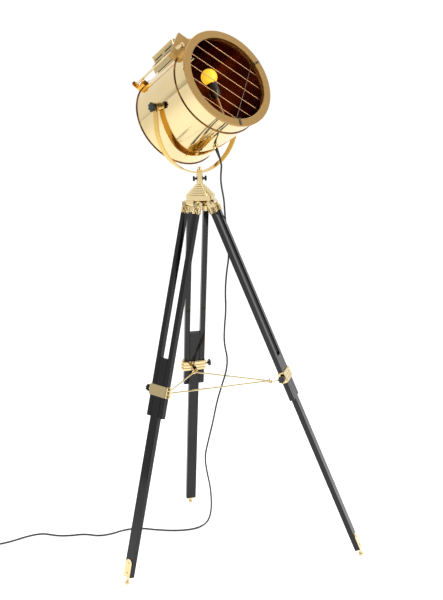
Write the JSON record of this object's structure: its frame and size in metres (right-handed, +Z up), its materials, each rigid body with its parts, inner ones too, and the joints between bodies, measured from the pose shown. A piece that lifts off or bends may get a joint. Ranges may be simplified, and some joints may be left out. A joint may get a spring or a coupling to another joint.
{
  "type": "tripod floor lamp",
  "caption": "Tripod floor lamp with a brass searchlight head on a U-shaped yoke, black sliding wooden legs and a trailing mains cord.",
  "frame": {"origin": "on the floor under the middle of the whole lamp, cord left out", "axes": "+Z up; +Y away from the viewer of the usual front view; +X to that viewer's right. The lamp is not square to the axes: its right leg points 16.5 degrees towards the viewer of +X and the head faces 50.5 degrees that way, tilted 27.4 degrees up"},
  "size_m": [1.4216, 0.6277, 1.7358],
  "materials": {
    "polished_brass": "polished, pale gold, lacquered",
    "satin_brass": "flat satin gold",
    "reflector": "dark copper mirror",
    "black_lacquered_wood": "black gloss lacquer",
    "black_plastic": "gloss",
    "black_flex": "dull black",
    "bulb_glass": "warm, lit",
    "porcelain": "smooth lamp holder",
    "steel": "brass plated"
  },
  "bodies": {
    "tripod": {"hub_casting": "polished_brass", "ribbed_dome": "polished_brass", "neck_tube": "polished_brass", "leg_bolts": "steel", "ferrules": "polished_brass", "rods_right": "black_lacquered_wood", "rods_left": "black_lacquered_wood", "rods_back": "black_lacquered_wood", "clamp_right": "polished_brass", "clamp_left": "polished_brass", "clamp_back": "polished_brass", "strut_rear": "polished_brass", "spreader_hook": "polished_brass", "cord_lower": "black_flex", "cord_coil": "black_flex", "cord_tie": "black_flex", "plug": "black_plastic"},
    "yoke": {"yoke_strap": "polished_brass", "yoke_spigot": "polished_brass", "finial_nut": "polished_brass", "cord_upper": "black_flex"},
    "head": {"drum_shell": "polished_brass", "rear_cover": "polished_brass", "front_ring": "satin_brass", "inner_reflector": "reflector", "lamp_bracket": "steel", "lamp_holder": "porcelain", "bulb": "bulb_glass", "grille": "steel", "cross_wire": "steel", "ring_screws": "polished_brass", "vent_chimney": "polished_brass", "front_bracket": "satin_brass", "bracket_stud": "polished_brass", "handle_rod": "polished_brass", "rear_bracket": "polished_brass", "cable_gland": "polished_brass", "strain_relief": "black_flex", "pivot_bosses": "polished_brass", "pivot_studs": "steel", "pivot_nuts": "polished_brass"},
    "wing_screw": {"wing_screw": "polished_brass"},
    "tilt_knob": {"tilt_knob": "black_plastic"},
    "neck_knob_left": {"neck_knob_left": "black_plastic"},
    "neck_knob_right": {"neck_knob_right": "black_plastic"},
    "spreader": {"strut_left": "polished_brass", "strut_back": "polished_brass", "spreader_ring": "polished_brass"},
    "lower_leg_right": {"lower_leg_right": "black_lacquered_wood", "foot_plate_right": "polished_brass", "foot_stud_right": "polished_brass"},
    "clamp_knob_right": {"clamp_knob_right": "black_plastic"},
    "lower_leg_left": {"lower_leg_left": "black_lacquered_wood", "foot_plate_left": "polished_brass", "foot_stud_left": "polished_brass"},
    "clamp_knob_left": {"clamp_knob_left": "black_plastic"},
    "lower_leg_back": {"lower_leg_back": "black_lacquered_wood", "foot_plate_back": "polished_brass", "foot_stud_back": "polished_brass"},
    "clamp_knob_back": {"clamp_knob_back": "black_plastic"}
  },
  "joints": [
    {"name": "yoke_pan", "type": "hinge", "parent": "tripod", "child": "yoke", "pos_m": [-0.104, -0.027, 1.291], "axis": [0, 0, 1], "range_deg": [-90, 90], "deforming": ["cord_lower"]},
    {"name": "head_tilt", "type": "hinge", "parent": "yoke", "child": "head", "pos_m": [-0.104, -0.027, 1.5136], "axis": [-0.7716, -0.6361, 0], "range_deg": [-60, 25], "deforming": ["cord_upper"]},
    {"name": "tilt_knob_turn", "type": "hinge", "parent": "head", "child": "tilt_knob", "pos_m": [-0.23402, -0.13418, 1.5136], "axis": [-0.7716, -0.6361, 0], "continuous": true},
    {"name": "wing_screw_turn", "type": "hinge", "parent": "head", "child": "wing_screw", "pos_m": [-0.27571, 0.00327, 1.58359], "axis": [-0.7378, -0.1692, 0.6535], "continuous": true},
    {"name": "neck_knob_left_turn", "type": "hinge", "parent": "tripod", "child": "neck_knob_left", "pos_m": [-0.115, -0.027, 1.278], "axis": [-1, 0, 0], "continuous": true},
    {"name": "neck_knob_right_turn", "type": "hinge", "parent": "tripod", "child": "neck_knob_right", "pos_m": [-0.093, -0.027, 1.278], "axis": [1, 0, 0], "continuous": true},
    {"name": "spreader_lift", "type": "hinge", "parent": "tripod", "child": "spreader", "pos_m": [-0.19285, -0.01014, 0.58554], "axis": [0.3157, 0.9476, -0.0482], "range_deg": [0, 50]},
    {"name": "leg_slide_right", "type": "slide", "parent": "tripod", "child": "lower_leg_right", "axis": [0.3561, -0.1055, -0.9285], "range_m": [-0.48, 0.04]},
    {"name": "clamp_knob_turn_right", "type": "hinge", "parent": "tripod", "child": "clamp_knob_right", "pos_m": [0.13895, -0.14887, 0.62805], "axis": [-0.284, -0.9588, 0], "continuous": true},
    {"name": "leg_slide_left", "type": "slide", "parent": "tripod", "child": "lower_leg_left", "axis": [-0.206, -0.1955, -0.9588], "range_m": [-0.44, 0.08]},
    {"name": "clamp_knob_turn_left", "type": "hinge", "parent": "tripod", "child": "clamp_knob_left", "pos_m": [-0.29117, -0.13865, 0.6132], "axis": [-0.6884, 0.7254, 0], "continuous": true},
    {"name": "leg_slide_back", "type": "slide", "parent": "tripod", "child": "lower_leg_back", "axis": [-0.0577, 0.2402, -0.969], "range_m": [-0.44, 0.1]},
    {"name": "clamp_knob_turn_back", "type": "hinge", "parent": "tripod", "child": "clamp_knob_back", "pos_m": [-0.10239, 0.17129, 0.59727], "axis": [0.9724, 0.2334, 0], "continuous": true}
  ]
}
